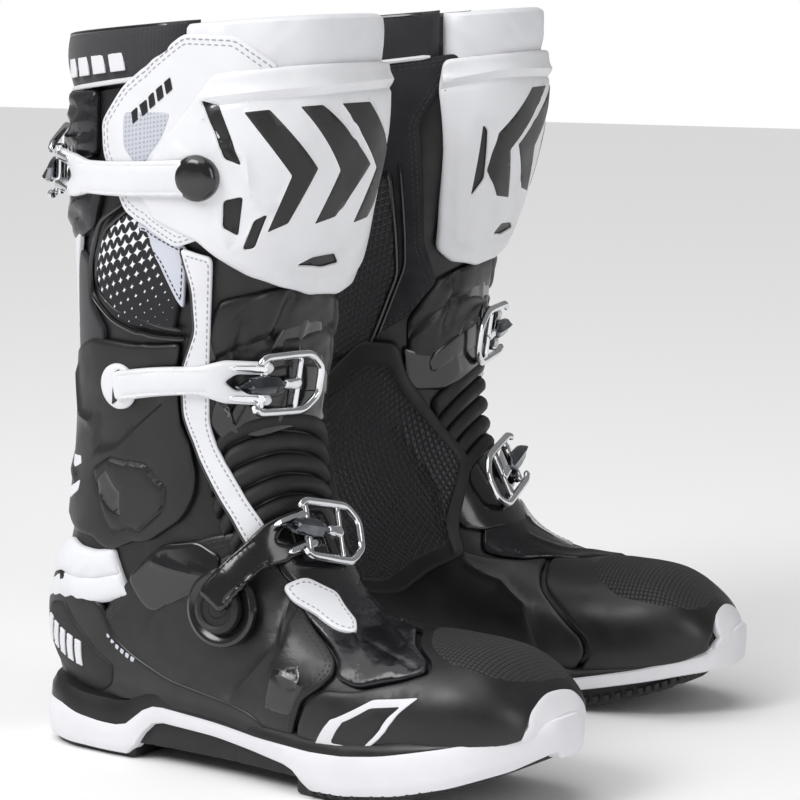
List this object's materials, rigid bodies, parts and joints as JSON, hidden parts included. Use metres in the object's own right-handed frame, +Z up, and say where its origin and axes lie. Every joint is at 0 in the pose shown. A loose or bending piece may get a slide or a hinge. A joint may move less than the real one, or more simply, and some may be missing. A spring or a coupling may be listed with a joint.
{
  "type": "riding boots",
  "caption": "Pair of tall off-road motorcycle boots with hinged ankles, buckled straps, moulded shin plates and thick soles.",
  "frame": {"origin": "middle of the pair's bounding box on the floor, z = 0 at the soles", "axes": "+Z up the shafts, +X towards the toes, +Y from the right boot to the left boot"},
  "size_m": [0.3416, 0.3566, 0.4059],
  "materials": {
    "shell_black": "moulded polyurethane, satin to glossy",
    "rubber_black": "matt moulded rubber",
    "fabric_black": "woven and padded textile",
    "lining": "grey knitted lining",
    "shell_white": "moulded polyurethane, satin",
    "leather_white": "smooth coated microfibre",
    "chrome": "polished",
    "steel": "spring steel"
  },
  "bodies": {
    "right_foot": {"right_outsole": "rubber_black", "right_rand": "shell_white", "right_shank": "steel", "right_insole": "lining", "right_foot_shell": "shell_black", "right_heel_counter": "shell_black", "right_ankle_pivot": "shell_black", "right_ankle_receiver": "shell_black", "right_bootie": "lining"},
    "right_cuff": {"right_calf_shell": "shell_black", "right_tongue": "fabric_black", "right_lateral_panel": "leather_white", "right_medial_panel": "fabric_black", "right_collar": "fabric_black", "right_shin_plate": "shell_white", "right_lower_shin_plate": "shell_black", "right_ankle_link": "shell_black", "right_top_anchor": "shell_black", "right_middle_anchor": "shell_white", "right_top_receiver": "shell_black", "right_middle_receiver": "shell_black", "right_front_bellows": "rubber_black", "right_rear_bellow": "leather_white", "right_medial_guard": "rubber_black"},
    "right_top_strap": {"right_top_strap": "shell_white"},
    "right_top_lever": {"right_top_lever": "chrome"},
    "right_middle_strap": {"right_middle_strap": "shell_white"},
    "right_middle_lever": {"right_middle_lever": "chrome"},
    "right_ankle_strap": {"right_ankle_strap": "shell_black"},
    "right_ankle_lever": {"right_ankle_lever": "chrome"},
    "left_foot": {"left_outsole": "rubber_black", "left_rand": "shell_white", "left_shank": "steel", "left_insole": "lining", "left_foot_shell": "shell_black", "left_heel_counter": "shell_black", "left_ankle_pivot": "shell_black", "left_ankle_receiver": "shell_black", "left_bootie": "lining"},
    "left_cuff": {"left_calf_shell": "shell_black", "left_tongue": "fabric_black", "left_lateral_panel": "leather_white", "left_medial_panel": "fabric_black", "left_collar": "fabric_black", "left_shin_plate": "shell_white", "left_lower_shin_plate": "shell_black", "left_ankle_link": "shell_black", "left_top_anchor": "shell_black", "left_middle_anchor": "shell_white", "left_top_receiver": "shell_black", "left_middle_receiver": "shell_black", "left_front_bellows": "rubber_black", "left_rear_bellow": "leather_white", "left_medial_guard": "rubber_black"},
    "left_top_strap": {"left_top_strap": "shell_white"},
    "left_top_lever": {"left_top_lever": "chrome"},
    "left_middle_strap": {"left_middle_strap": "shell_white"},
    "left_middle_lever": {"left_middle_lever": "chrome"},
    "left_ankle_strap": {"left_ankle_strap": "shell_black"},
    "left_ankle_lever": {"left_ankle_lever": "chrome"}
  },
  "joints": [
    {"name": "left_boot_slide", "type": "slide", "parent": "right_foot", "child": "left_foot", "axis": [0, 1, 0], "range_m": [0, 0.25]},
    {"name": "right_ankle_flex", "type": "hinge", "parent": "right_foot", "child": "right_cuff", "pos_m": [-0.01306, -0.10839, 0.092], "axis": [0.1219, 0.9925, 0], "range_deg": [-10, 18], "stiffness_Nm_per_rad": 40, "deforming": ["right_bootie", "right_front_bellows", "right_rear_bellow", "right_medial_guard"]},
    {"name": "right_top_strap_swing", "type": "hinge", "parent": "right_cuff", "child": "right_top_strap", "pos_m": [-0.03542, -0.17225, 0.32123], "axis": [-0.0984, -0.0467, 0.994], "range_deg": [0, 52]},
    {"name": "right_top_lever_flip", "type": "hinge", "parent": "right_top_strap", "child": "right_top_lever", "pos_m": [-0.12589, -0.14187, 0.32054], "axis": [0.1504, -0.1458, 0.9778], "range_deg": [0, 100]},
    {"name": "right_middle_strap_swing", "type": "hinge", "parent": "right_cuff", "child": "right_middle_strap", "pos_m": [-0.08126, -0.15898, 0.20791], "axis": [0.1687, 0.0455, -0.9846], "range_deg": [0, 60]},
    {"name": "right_middle_lever_flip", "type": "hinge", "parent": "right_middle_strap", "child": "right_middle_lever", "pos_m": [-0.00512, -0.14214, 0.21213], "axis": [-0.1811, -0.009, -0.9834], "range_deg": [0, 100]},
    {"name": "right_ankle_strap_swing", "type": "hinge", "parent": "right_foot", "child": "right_ankle_strap", "pos_m": [-0.01968, -0.16838, 0.09885], "axis": [0.8027, -0.0538, -0.594], "range_deg": [0, 45]},
    {"name": "right_ankle_lever_flip", "type": "hinge", "parent": "right_ankle_strap", "child": "right_ankle_lever", "pos_m": [0.01399, -0.12901, 0.13273], "axis": [0.274, -0.2527, -0.9279], "range_deg": [0, 100]},
    {"name": "left_ankle_flex", "type": "hinge", "parent": "left_foot", "child": "left_cuff", "pos_m": [-0.02106, 0.10839, 0.092], "axis": [-0.1219, 0.9925, 0], "range_deg": [-10, 18], "stiffness_Nm_per_rad": 40, "deforming": ["left_bootie", "left_front_bellows", "left_rear_bellow", "left_medial_guard"]},
    {"name": "left_top_strap_swing", "type": "hinge", "parent": "left_cuff", "child": "left_top_strap", "pos_m": [-0.04342, 0.17225, 0.32123], "axis": [0.0984, -0.0467, -0.994], "range_deg": [0, 52]},
    {"name": "left_top_lever_flip", "type": "hinge", "parent": "left_top_strap", "child": "left_top_lever", "pos_m": [-0.13389, 0.14187, 0.32054], "axis": [-0.1504, -0.1458, -0.9778], "range_deg": [0, 100]},
    {"name": "left_middle_strap_swing", "type": "hinge", "parent": "left_cuff", "child": "left_middle_strap", "pos_m": [-0.08926, 0.15898, 0.20791], "axis": [-0.1687, 0.0455, 0.9846], "range_deg": [0, 60]},
    {"name": "left_middle_lever_flip", "type": "hinge", "parent": "left_middle_strap", "child": "left_middle_lever", "pos_m": [-0.01312, 0.14214, 0.21213], "axis": [0.1811, -0.009, 0.9834], "range_deg": [0, 100]},
    {"name": "left_ankle_strap_swing", "type": "hinge", "parent": "left_foot", "child": "left_ankle_strap", "pos_m": [-0.02768, 0.16838, 0.09885], "axis": [-0.8027, -0.0538, 0.594], "range_deg": [0, 45]},
    {"name": "left_ankle_lever_flip", "type": "hinge", "parent": "left_ankle_strap", "child": "left_ankle_lever", "pos_m": [0.00599, 0.12901, 0.13273], "axis": [-0.274, -0.2527, 0.9279], "range_deg": [0, 100]}
  ]
}
